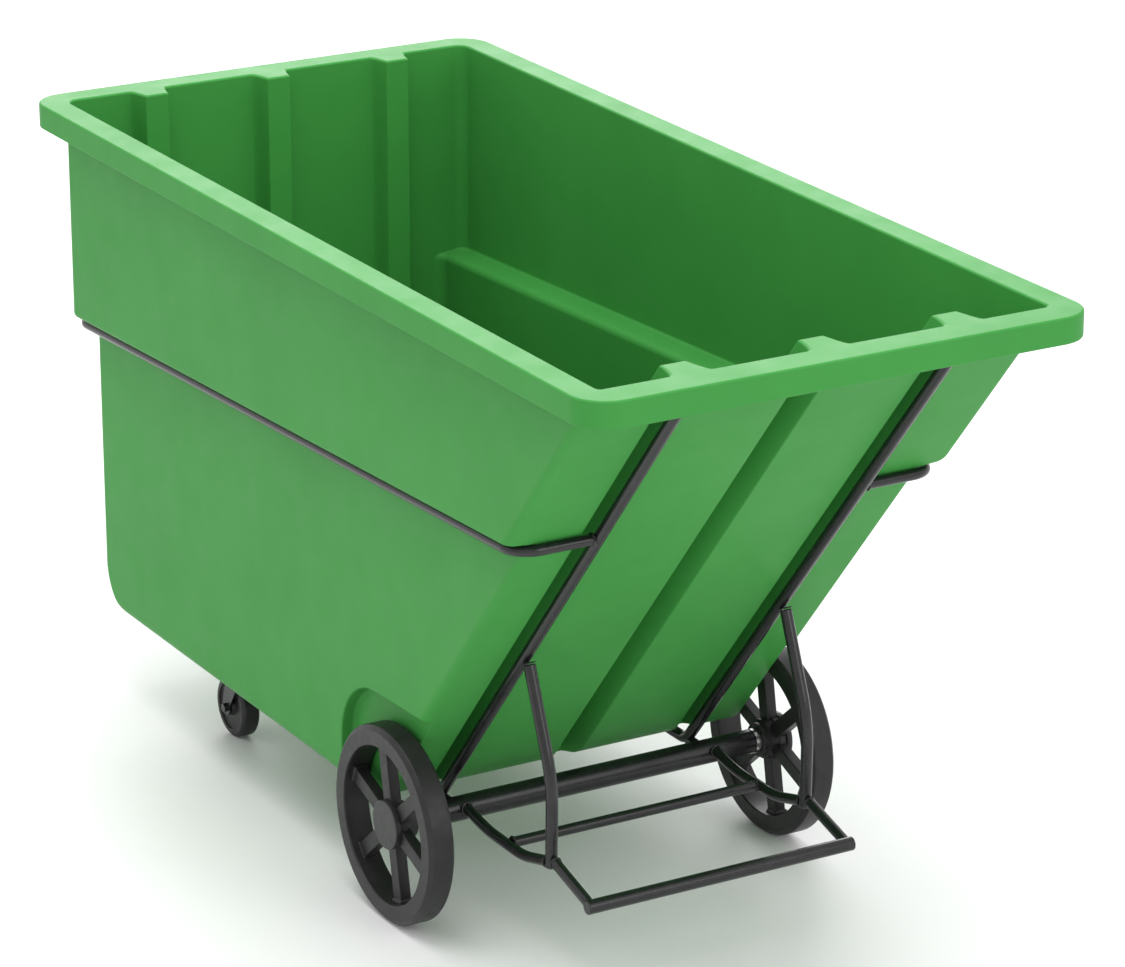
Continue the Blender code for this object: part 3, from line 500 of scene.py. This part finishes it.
def tub_section(z, tilt, half, inset, inner):
    """One loop round the tub, in the plane z + tilt * (STEP_REF_Y - y), with the channels in it."""
    def height(y):
        return z + tilt * (STEP_REF_Y - y)

    def settle(edge):
        y = edge(z, inset)
        for _ in range(8):
            y = edge(height(y), inset)
        return y

    mouth = CHANNEL_MOUTH + (RIB_FLARE + inset - WALL if inner else 0.0)
    floor = CHANNEL_FLOOR + inset
    front = settle(front_y)
    rear = settle(rear_y)
    slope = slope_y(height(front), inset)
    deepest = front_y(FLOOR_Z + inset, inset)
    shares = channel_shares(mouth, floor, RIB_ROOT if inner else CHANNEL_SOFT)

    def front_at(share):
        return max(front, min(slope + share * CHANNEL_DEPTH / math.sin(SLOPE_ANGLE), deepest))

    def rear_at(share):
        return min(rear, REAR_Y - inset - share * CHANNEL_DEPTH)

    corner = FRONT_CORNER - inset
    corner_y = corner / math.sin(SLOPE_ANGLE)
    back_corner = REAR_CORNER - inset
    middle = [(offset, front_at(share)) for offset, share in shares]
    half_loop = middle[1:]
    half_loop += [(CHANNEL_X - offset, front_at(share)) for offset, share in reversed(shares)]
    half_loop += [(CHANNEL_X + offset, front_at(share)) for offset, share in shares[1:]]
    for angle in arc_angles(9):
        half_loop.append((half - corner + corner * math.sin(angle), front + corner_y * (1 - math.cos(angle))))
    for angle in arc_angles(9):
        half_loop.append((half - back_corner + back_corner * math.cos(angle),
                          rear - back_corner + back_corner * math.sin(angle)))
    half_loop += [(CHANNEL_X + offset, rear_at(share)) for offset, share in reversed(shares)]
    half_loop += [(CHANNEL_X - offset, rear_at(share)) for offset, share in shares[1:]]
    half_loop += [(offset, rear_at(share)) for offset, share in reversed(shares[1:])]
    outline = [(0.0, front_at(1.0))] + half_loop + [(0.0, rear_at(1.0))]
    outline += [(-x, y) for x, y in reversed(half_loop)]
    return [(x, mid_y(y), height(y)) for x, y in outline]


def tub_solid(inner):
    """The tub's outer form, or the space inside it, which flares out at the rounded mouth."""
    inset = WALL if inner else 0.0
    side = SIDE_FOOT_RADIUS - inset
    low = FLOOR_Z + inset
    wall = LOWER_HALF - inset
    loops = []
    for angle in arc_angles(6):
        loops.append((low + side * (1 - math.cos(angle)), 0.0, wall - side + side * math.sin(angle), inset))
    foot = FRONT_FOOT_RADIUS - SIDE_FOOT_RADIUS
    for share in (0.12, 0.25, 0.42, 0.65, 1.0):
        loops.append((low + side + foot * share, 0.0, wall, inset))
    # between its level foot and level rim, the loops lean as the step does
    for tilt_share, z in ((0.0, 0.34), (0.5, 0.50)):
        loops.append((z, STEP_TILT * tilt_share, wall, inset))
    edge = STEP_EDGE - inset
    root = STEP_ROOT + inset
    base = STEP_Z + inset
    for angle in arc_angles(5):
        loops.append((base - root + root * math.sin(angle), STEP_TILT,
                      wall + root * (1 - math.cos(angle)), inset))
    outer = base + STEP_FALL
    upper = UPPER_HALF - inset
    for angle in arc_angles(6):
        loops.append((outer + edge * (1 - math.cos(angle)), STEP_TILT,
                      upper - edge + edge * math.sin(angle), inset))
    loops.append((0.82, STEP_TILT * 0.4, upper, inset))
    loops.append((0.90, 0.0, upper, inset))
    if inner:
        start = RIM_TOP - MOUTH_ROUND
        for angle in arc_angles(6, math.radians(80)):
            grow = MOUTH_ROUND * (1 - math.cos(angle))
            loops.append((start + MOUTH_ROUND * math.sin(angle), 0.0, upper + grow, inset - grow))
        loops.append((RIM_TOP + 0.001, 0.0, upper + grow + 0.003, inset - grow - 0.003))
    else:
        loops.append((RIM_TOP - RIM_DEPTH / 2, 0.0, upper, inset))
    return loft([tub_section(z, tilt, half, depth, inner) for z, tilt, half, depth in loops])


def rim_slab():
    """The flat-topped band round the mouth, with rounded upper and lower edges."""
    low = RIM_TOP - RIM_DEPTH
    levels = []
    for angle in arc_angles(4):
        levels.append((RIM_LOWER_ROUND * (1 - math.sin(angle)),
                       low + RIM_LOWER_ROUND * (1 - math.cos(angle))))
    for angle in arc_angles(6):
        levels.append((RIM_UPPER_ROUND * (1 - math.cos(angle)),
                       RIM_TOP - RIM_UPPER_ROUND * (1 - math.sin(angle))))
    loops = []
    for inset, z in levels:
        outline = rounded_rectangle(RIM_WIDTH / 2 - inset, RIM_LENGTH / 2 - inset, RIM_CORNER - inset, 10)
        loops.append([(x, y, z) for x, y in outline])
    return loft(loops)


def arch_block(side, inset):
    """A wheel recess as a solid: a flat inner face, a soft root, a short wall and a flared outer edge."""
    outer_x = LOWER_HALF - inset
    wall_start = inset + ARCH_DRAFT
    inner_x = ARCH_X - inset
    profile = []
    for angle in arc_angles(3):
        profile.append((inner_x + ARCH_ROOT * (1 - math.cos(angle)),
                        inset - ARCH_ROOT * (1 - math.sin(angle))))
    for angle in arc_angles(5, math.radians(78)):
        profile.append((outer_x - ARCH_FLARE + ARCH_FLARE * math.sin(angle),
                        wall_start + ARCH_FLARE * (1 - math.cos(angle))))
    profile.append((outer_x + 0.006, wall_start + ARCH_FLARE * 2.2))
    front = 0.40
    below = FLOOR_Z - 0.10
    loops = []
    for x, grow in profile:
        rear = ARCH_REAR_Y + grow
        top = ARCH_TOP_Z + grow
        outline = bent([(0, front, below), (0, rear, below), (0, rear, top - ARCH_TOP_DROP),
                        (0, front, top + ARCH_TOP_RISE)],
                       [0.001, ARCH_CORNER + grow], steps=14)
        loops.append([(side * x, mid_y(p.y), p.z) for p in outline])
    return loft(loops)


def make_tub():
    outer = boolean(tub_solid(False), rim_slab(), "UNION")
    space = tub_solid(True)
    for side, _ in SIDES:
        outer = boolean(outer, arch_block(side, 0.0), "DIFFERENCE")
        space = boolean(space, arch_block(side, WALL), "DIFFERENCE")
    shell = boolean(outer, space, "DIFFERENCE")
    piece("tub_shell", shell, GREEN, "chassis", ["tub"], 40.0)


# ---- the frame ----------------------------------------------------------------------------------
RAIL_LOW_Z = FLOOR_Z - RAIL_D / 2 - GAP
TAB_THICK = 0.004
RAIL_TOP_Z = RIM_TOP - RIM_DEPTH - TAB_THICK - 2 * GAP - RAIL_D / 2
RAIL_REAR_Y = REAR_Y - RAIL_D / 2 - 0.0015
RAIL_FRONT_TOP_Z = 0.9553
RAIL_END_Y = RIM_LENGTH - 0.010
RAIL_BENDS = (0.035, 0.050, 0.020)
BRACE_TOP_Z = 0.462
BRACE_TOP_CLEAR = 0.0156     # from the rail's middle to the brace's end, along the brace
BRACE_BEND = 0.20
BRACE_LEAN = Vector((0, -0.41, -0.912)).normalized()
BRACE_KNEE = Vector((0, 0.4180, 0.290))
BRACE_FOOT = Vector((0, 0.421, 0.159))
FOOT_FRONT = Vector((0, 0.3075, 0.1425))
FOOT_ARM_RISE = 0.2725
ARM_SHORT = 0.001            # further gap between the foot bar's arms and the braces
RUNNER_FRONT_Z = 0.164
RUNNER_LOW_Z = 0.1455
RUNNER_REAR_Z = 0.1565
RUNNER_LOW_Y = (0.610, 0.500)    # ends of a runner's low stretch, from the rear
RUNNER_BENDS = (0.30, 0.16)
CROSS_BAR_Y = 0.546
CROSS_BAR_Z = 0.1475


def rail_y(z):
    return slope_y(z) - RAIL_STANDOFF / math.sin(SLOPE_ANGLE)


def belt_z(y):
    return STEP_Z + STEP_TILT * (STEP_REF_Y - y) - BELT_D / 2 - BELT_DROP


def framed(points):
    """Route points whose Y counts from the rim's front edge, as points of the row frame."""
    return [Vector((x, mid_y(y), z)) for x, y, z in points]


def weld_bead(centre, along, radius, seed, thickness=WELD_BEAD):
    """Lumpy ring of weld metal round the end of a bar."""
    along = Vector(along).normalized()
    side = along.orthogonal().normalized()
    up = along.cross(side)
    rng = random.Random(seed)
    count = 40
    ripple = [rng.uniform(0.85, 1.15) for _ in range(count)]
    verts = []
    for k in range(count):
        turn = 2 * math.pi * k / count
        outward = math.cos(turn) * side + math.sin(turn) * up
        thick = thickness * ripple[k] * (1 + 0.12 * math.cos(20 * turn))
        for j in range(8):
            roll = 2 * math.pi * j / 8
            verts.append(centre + outward * (radius + thick * math.cos(roll))
                         + along * (thick * math.sin(roll)))
    faces = []
    for k in range(count):
        for j in range(8):
            a, b = k * 8 + j, k * 8 + (j + 1) % 8
            c, d = ((k + 1) % count) * 8 + (j + 1) % 8, ((k + 1) % count) * 8 + j
            faces.append((a, b, c, d))
    return mesh_from(verts, faces)


def make_frame():
    beads = []

    def bar(name, route, diameter):
        piece(name + "_bar", tube_mesh(route, diameter), PAINT, "chassis", [name])

    def bead(x, y, z, along, radius, thickness=WELD_BEAD):
        beads.append(weld_bead(Vector((x, mid_y(y), z)), along, radius, len(beads), thickness))

    end_x = CHANNEL_X + RAIL_D / 2 + GAP
    side_x = LOWER_HALF + BELT_D / 2 + BELT_CLEAR
    belt_front = slope_y(belt_z(0.30)) - (BELT_D / 2 + GAP) / math.sin(SLOPE_ANGLE)
    belt_rear = REAR_Y + BELT_D / 2 + BELT_REAR_CLEAR
    plan = ((-end_x, belt_front), (-side_x, belt_front), (-side_x, belt_rear),
            (side_x, belt_rear), (side_x, belt_front), (end_x, belt_front))
    belt = bent(framed([(x, y, belt_z(y)) for x, y in plan]),
                [BELT_FRONT_BEND, BELT_REAR_BEND, BELT_REAR_BEND, BELT_FRONT_BEND])
    bar("belt_rod", belt, BELT_D)

    arm_end = BRACE_FOOT.y - RAIL_D / 2 - WELD_GAP - ARM_SHORT
    arm_z = FOOT_FRONT.z + (arm_end - FOOT_FRONT.y) * FOOT_ARM_RISE
    half = CHANNEL_X + RUNNER_D / 2
    foot_profile = [(-half, 0), (-half, FOOT_BAR_D / 2), (half, FOOT_BAR_D / 2), (half, 0)]
    foot = moved(revolve(eased(foot_profile, 0.002), 48), (0, mid_y(FOOT_FRONT.y), FOOT_FRONT.z))
    for side, _ in SIDES:
        arm = framed([(side * CHANNEL_X, FOOT_FRONT.y, FOOT_FRONT.z), (side * CHANNEL_X, arm_end, arm_z)])
        foot = boolean(foot, tube_mesh([arm[0], (arm[0] + arm[1]) / 2, arm[1]], RUNNER_D), "UNION")
    piece("foot_bar_bar", foot, PAINT, "chassis", ["foot_bar"])
    reach = CHANNEL_X - RUNNER_D / 2 - GAP
    bar("cross_bar", framed([(-reach, CROSS_BAR_Y, CROSS_BAR_Z), (0, CROSS_BAR_Y, CROSS_BAR_Z),
                             (reach, CROSS_BAR_Y, CROSS_BAR_Z)]), RUNNER_D)

    tube_r = AXLE_TUBE_D / 2
    tube = eased([(-AXLE_TUBE_HALF, AXLE_TUBE_BORE_R), (-AXLE_TUBE_HALF, tube_r), (AXLE_TUBE_HALF, tube_r),
                  (AXLE_TUBE_HALF, AXLE_TUBE_BORE_R)], 0.0018, closed=True)
    tube = moved(revolve(tube, 48, closed=True), (0, mid_y(AXLE_Y), WHEEL_R))
    piece("axle_tube_bar", tube, PAINT, "chassis", ["axle_tube"])

    for side, label in SIDES:
        x = side * CHANNEL_X
        rail = framed([(x, rail_y(RAIL_FRONT_TOP_Z), RAIL_FRONT_TOP_Z), (x, rail_y(RAIL_LOW_Z), RAIL_LOW_Z),
                       (x, RAIL_REAR_Y, RAIL_LOW_Z), (x, RAIL_REAR_Y, RAIL_TOP_Z),
                       (x, RAIL_END_Y, RAIL_TOP_Z)])
        bar(label + "_rail", bent(rail, RAIL_BENDS), RAIL_D)

        across = Vector((x, 0, 0))
        top = across + Vector((0, rail_y(BRACE_TOP_Z), BRACE_TOP_Z)) + BRACE_LEAN * BRACE_TOP_CLEAR
        heel = across + BRACE_FOOT
        bar(label + "_brace", bent(framed([top, across + BRACE_KNEE, heel]), [BRACE_BEND]), RAIL_D)

        start = AXLE_Y - AXLE_TUBE_D / 2 - WELD_GAP
        end = BRACE_FOOT.y + RAIL_D / 2 + WELD_GAP
        runner = framed([(x, start, RUNNER_REAR_Z), (x, RUNNER_LOW_Y[0], RUNNER_LOW_Z),
                         (x, RUNNER_LOW_Y[1], RUNNER_LOW_Z), (x, end, RUNNER_FRONT_Z)])
        bar(label + "_runner", bent(runner, RUNNER_BENDS), RUNNER_D)

        bead(x, top.y + 0.001, top.z + 0.002, BRACE_LEAN, RAIL_D / 2, 0.0010)
        bead(x, start + 0.001, RUNNER_REAR_Z, (0, 1, -0.15), RUNNER_D / 2)
        bead(x, end - 0.001, RUNNER_FRONT_Z, (0, 1, -0.22), RUNNER_D / 2)
        bead(x, arm_end + 0.001, arm_z, (0, 1, FOOT_ARM_RISE), RUNNER_D / 2)
        bead(side * reach, CROSS_BAR_Y, CROSS_BAR_Z, (1, 0, 0), RUNNER_D / 2, 0.0020)
        bead(side * end_x, belt_front, belt_z(belt_front), (1, 0, 0), BELT_D / 2, 0.0020)
    piece("weld_beads", joined(*beads), PAINT, "chassis")


# ---- the main wheels ----------------------------------------------------------------------------
def spoke_mesh(turn):
    """One spoke straight up the Z axis with a raised pad at its outer end, turned into its place."""
    levels = ((0.022, 0.0118, 0.0088), (0.060, 0.0116, 0.0088), (RING_INNER_R - 0.0060, 0.0118, 0.0089),
              (RING_INNER_R - 0.0040, 0.0132, 0.0103), (RING_INNER_R - 0.0025, 0.0140, 0.0111),
              (RING_INNER_R + 0.006, 0.0143, 0.0113))
    loops = []
    for z, half_y, half_x in levels:
        loops.append([(x + SPOKE_SHIFT, y, z) for x, y in rounded_rectangle(half_x, half_y, 0.0016, 4)])
    return moved(loft(loops), rotation=Matrix.Rotation(turn, 4, "X"))


def wheel_mesh():
    w = WHEEL_HALF
    r = WHEEL_R
    inner = RING_INNER_R
    outline = [(-w, inner + 0.001), (-w, r - 0.007), (-w + 0.0055, r), (w - 0.0055, r), (w, r - 0.007),
               (w, inner + 0.001), (w - 0.0025, inner), (-w + 0.0025, inner)]
    radii = [0.001, 0.003, 0.004, 0.004, 0.003, 0.001, 0.0012, 0.0012]
    wheel = revolve(eased(outline, radii, 5, closed=True), 96, closed=True)
    hub_in = HUB_IN_X - WHEEL_X
    hub_out = HUB_OUT_X - WHEEL_X
    hub = eased([(hub_in, 0), (hub_in, 0.026), (hub_in + 0.007, 0.0265), (hub_in + 0.0085, 0.0305),
                 (hub_out - 0.013, 0.0320), (hub_out - 0.0115, 0.0345), (hub_out, 0.0335), (hub_out, 0)],
                0.0012, 3)
    for spoke in range(SPOKES):
        wheel = boolean(wheel, spoke_mesh(2 * math.pi * spoke / SPOKES + SPOKE_TURN), "UNION")
    wheel = boolean(wheel, revolve(hub, 64), "UNION")
    return boolean(wheel, disc(-0.06, 0.06, WHEEL_BORE_R, 40), "DIFFERENCE")


def hub_cap_mesh():
    """Cap for the +X hub: a slightly domed disc with a recess behind it for the shaft's end."""
    rim = HUB_OUT_X + GAP
    recess = rim + CAP_RECESS
    face = rim + CAP_THICK
    profile = [(recess, 0), (recess, CAP_RECESS_R), (rim, CAP_RECESS_R), (rim, HUB_R - 0.0008),
               (rim + 0.0022, HUB_R - 0.0008), (rim + 0.0026, HUB_R), (face - 0.0004, HUB_R),
               (face - 0.0001, HUB_R - 0.0045), (face, HUB_R - 0.010), (face, 0)]
    return revolve(eased(profile, [0, 0, 0, 0.0004, 0.0002, 0.0004, 0.0014, 0.003, 0, 0], 3), 64)


def make_wheels():
    wheel = moved(wheel_mesh(), (WHEEL_X, mid_y(AXLE_Y), WHEEL_R))
    cap = moved(hub_cap_mesh(), (0, mid_y(AXLE_Y), WHEEL_R))
    for side, label in SIDES:
        body = label + "_wheel_body"
        shapes = ((label + "_wheel", wheel, WHEEL_GREY, "wheel_plastic"),
                  (label + "_hub_cap", cap, CAP_GREY, "cap_plastic"))
        for name, mesh, mat, slot in shapes:
            mesh = mesh.copy() if side > 0 else mirrored(mesh)
            piece(name + "_moulding", mesh, mat, body, [name])


# ---- the casters --------------------------------------------------------------------------------
PAD_THICK = 0.004
PLATE_THICK = 0.003
RACE_DEPTH = 0.006
CROWN_GAP = 0.0008
PLATE_TOP_Z = RAIL_LOW_Z - RAIL_D / 2 - GAP - PAD_THICK - GAP
CROWN_TOP_Z = PLATE_TOP_Z - PLATE_THICK - RACE_DEPTH - CROWN_GAP
CROWN_THICK = 0.0035
LEG_IN = 0.0190
LEG_OUT = 0.0220


def fork_mesh():
    """Crown with two legs down to the wheel's axle, pressed from one strip with rounded shoulders."""
    crown_outline = rounded_rectangle(LEG_OUT, 0.026, 0.008, 6)
    crown = prism(crown_outline, CROWN_TOP_Z - CROWN_THICK, CROWN_TOP_Z)
    shoulder_z = CROWN_TOP_Z - 0.001
    outline = [(-0.024, shoulder_z), (0.024, shoulder_z)]
    eye = 0.013
    for step in range(17):
        angle = math.radians(20 - 220 * step / 16)
        outline.append((CASTER_TRAIL + eye * math.cos(angle), CASTER_WHEEL_R + eye * math.sin(angle)))
    fork = crown
    for low, high in ((-LEG_OUT, -LEG_IN), (LEG_IN, LEG_OUT)):
        leg = loft([[(low, y, z) for y, z in outline], [(high, y, z) for y, z in outline]])
        fork = boolean(fork, leg, "UNION")
    pin_hole = moved(turn_upright(disc(-0.01, 0.01, 0.0063, 32)), (0, 0, CROWN_TOP_Z))
    axle_hole = moved(disc(-0.04, 0.04, 0.0043, 32), (0, CASTER_TRAIL, CASTER_WHEEL_R))
    fork = boolean(fork, joined(pin_hole, axle_hole), "DIFFERENCE")
    return moved(fork, (0, mid_y(CASTER_Y), 0))


def caster_wheel_mesh():
    w = CASTER_WHEEL_HALF
    r = CASTER_WHEEL_R
    half = [(w - 0.004, r), (w, r - 0.006), (w, r - 0.0125), (w - 0.0032, r - 0.0135), (w - 0.0032, 0.0150),
            (0.0172, 0.0125), (0.0172, 0.0065)]
    profile = [(-x, radius) for x, radius in reversed(half)] + half
    radii = [0, 0.0008, 0.001, 0.001, 0.001, 0.003, 0.006, 0.006, 0.003, 0.001, 0.001, 0.001, 0.0008, 0]
    mesh = revolve(eased(profile, radii, 4, closed=True), 72, closed=True)
    return moved(mesh, (0, mid_y(CASTER_Y + CASTER_TRAIL), CASTER_WHEEL_R))


def make_casters():
    fork = fork_mesh()
    wheel = caster_wheel_mesh()
    for side, label in SIDES:
        x = side * CHANNEL_X
        caster = label + "_caster"
        piece(caster + "_fork_pressing", moved(fork, (x, 0, 0)), PAINT, caster + "_body",
              [caster + "_fork"])
        piece(caster + "_wheel_moulding", moved(wheel, (x, 0, 0)), WHEEL_GREY,
              caster + "_wheel_body", [caster + "_wheel"])


# ---- floor, lights and camera -------------------------------------------------------------------
def make_floor():
    reach = 60.0
    corners = [(-reach, -reach, 0), (reach, -reach, 0), (reach, reach, 0), (-reach, reach, 0)]
    mesh = mesh_from(corners, [(0, 1, 2, 3)])
    floor = bpy.data.objects.new("floor", mesh)
    mat, tree, shader = node_material("studio_floor", (0.90, 0.90, 0.90), 0.6)
    fine = noise_node(tree, object_coords(tree), 2.0, 3.0, 0.5)
    tone = two_tone(tree, fine, (0.895, 0.895, 0.895), (0.905, 0.905, 0.905))
    tree.links.new(tone, shader.inputs["Base Color"])
    mesh.materials.append(mat)
    bpy.context.scene.collection.objects.link(floor)


def area_light(name, place, target, size, power):
    light = bpy.data.lights.new(name, "AREA")
    light.shape = "RECTANGLE"
    light.size, light.size_y = size
    light.energy = power
    obj = bpy.data.objects.new(name, light)
    obj.location = place
    obj.rotation_euler = (Vector(target) - Vector(place)).to_track_quat("-Z", "Y").to_euler()
    bpy.context.scene.collection.objects.link(obj)


def make_studio():
    world = bpy.data.worlds.new("studio")
    world.use_nodes = True
    back = world.node_tree.nodes["Background"]
    back.inputs["Color"].default_value = (1.0, 1.0, 1.0, 1.0)
    back.inputs["Strength"].default_value = 0.96
    bpy.context.scene.world = world
    area_light("overhead", (-0.4, -0.2, 4.2), (0, 0, 0.6), (3.2, 3.2), 105.0)
    area_light("front_fill", (1.2, -4.6, 2.6), (0, 0, 0.5), (2.2, 2.2), 40.0)
    area_light("rear_sheen", (2.9, 5.6, 2.9), (0, 0, 0.9), (4.2, 2.6), 140.0)


def make_camera():
    camera = bpy.data.cameras.new("camera")
    camera.sensor_width = 36.0
    camera.lens = 151.33
    camera.clip_end = 200.0
    obj = bpy.data.objects.new("camera", camera)
    azimuth = math.radians(-30.06)
    elevation = math.radians(19.67)
    back = Vector((math.sin(azimuth) * math.cos(elevation), -math.cos(azimuth) * math.cos(elevation),
                   math.sin(elevation)))
    obj.location = (-3.2797, mid_y(-4.9072), 2.9354)
    obj.rotation_euler = (-back).to_track_quat("-Z", "Y").to_euler()
    bpy.context.scene.collection.objects.link(obj)
    bpy.context.scene.camera = obj
    bpy.context.scene.view_settings.view_transform = "Standard"


finish_cad_nodes()
make_tub()
make_frame()
make_wheels()
make_casters()
make_floor()
make_studio()
make_camera()
